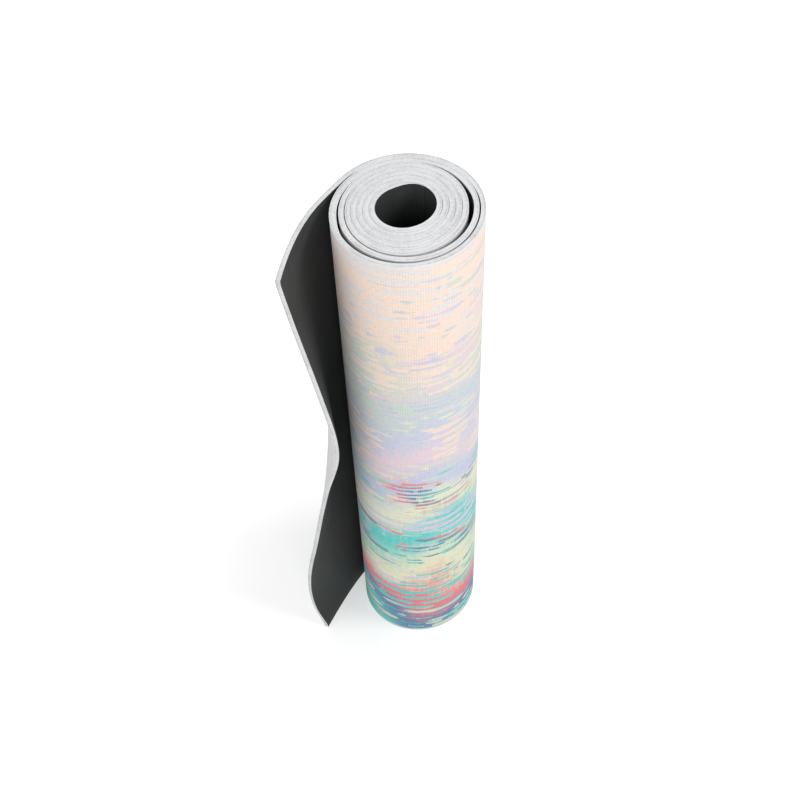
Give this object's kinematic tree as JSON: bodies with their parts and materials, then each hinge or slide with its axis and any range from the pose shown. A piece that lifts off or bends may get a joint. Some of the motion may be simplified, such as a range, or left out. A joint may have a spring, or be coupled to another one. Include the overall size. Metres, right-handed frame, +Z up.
{
  "type": "yoga mat",
  "caption": "Foam exercise mat with a printed cloth face and black rubber underside, rolled into a cylinder and stood on end, its outer end hanging loose and flared.",
  "frame": {"origin": "on the floor, in the middle of the outline of the roll and its loose end", "axes": "+Z up along the roll, +X to the viewer's right and +Y away from the viewer in the picture"},
  "size_m": [0.1779, 0.1284, 0.613],
  "materials": {
    "printed_cloth": "brushed cloth, matt, printed in pale bands",
    "pale_foam": "closed foam, matt",
    "black_rubber": "fine grained, matt"
  },
  "bodies": {
    "roll": {"roll_printed_face": "printed_cloth", "roll_foam_core": "pale_foam", "roll_rubber_base": "black_rubber"},
    "outer_wrap": {"outer_wrap_printed_face": "printed_cloth", "outer_wrap_foam_core": "pale_foam", "outer_wrap_rubber_base": "black_rubber"},
    "flap_root": {"flap_root_printed_face": "printed_cloth", "flap_root_foam_core": "pale_foam", "flap_root_rubber_base": "black_rubber"},
    "flap_tip": {"flap_tip_printed_face": "printed_cloth", "flap_tip_foam_core": "pale_foam", "flap_tip_rubber_base": "black_rubber"}
  },
  "joints": [
    {"name": "outer_wrap_bend", "type": "hinge", "parent": "roll", "child": "outer_wrap", "pos_m": [0.0447, 0.05981, 0], "axis": [0, 0, 1], "range_deg": [-15, 0], "stiffness_Nm_per_rad": 0.4},
    {"name": "flap_root_bend", "type": "hinge", "parent": "outer_wrap", "child": "flap_root", "pos_m": [-0.0253, 0.0335, 0], "axis": [0, 0, 1], "range_deg": [-12, 8]},
    {"name": "flap_tip_bend", "type": "hinge", "parent": "flap_root", "child": "flap_tip", "pos_m": [-0.03868, 0.01604, 0], "axis": [0, 0, 1], "range_deg": [-24, 16], "stiffness_Nm_per_rad": 0.15}
  ],
  "couplings": [
    {"joint": "flap_root_bend", "follows": "flap_tip_bend", "ratio": 0.5}
  ]
}
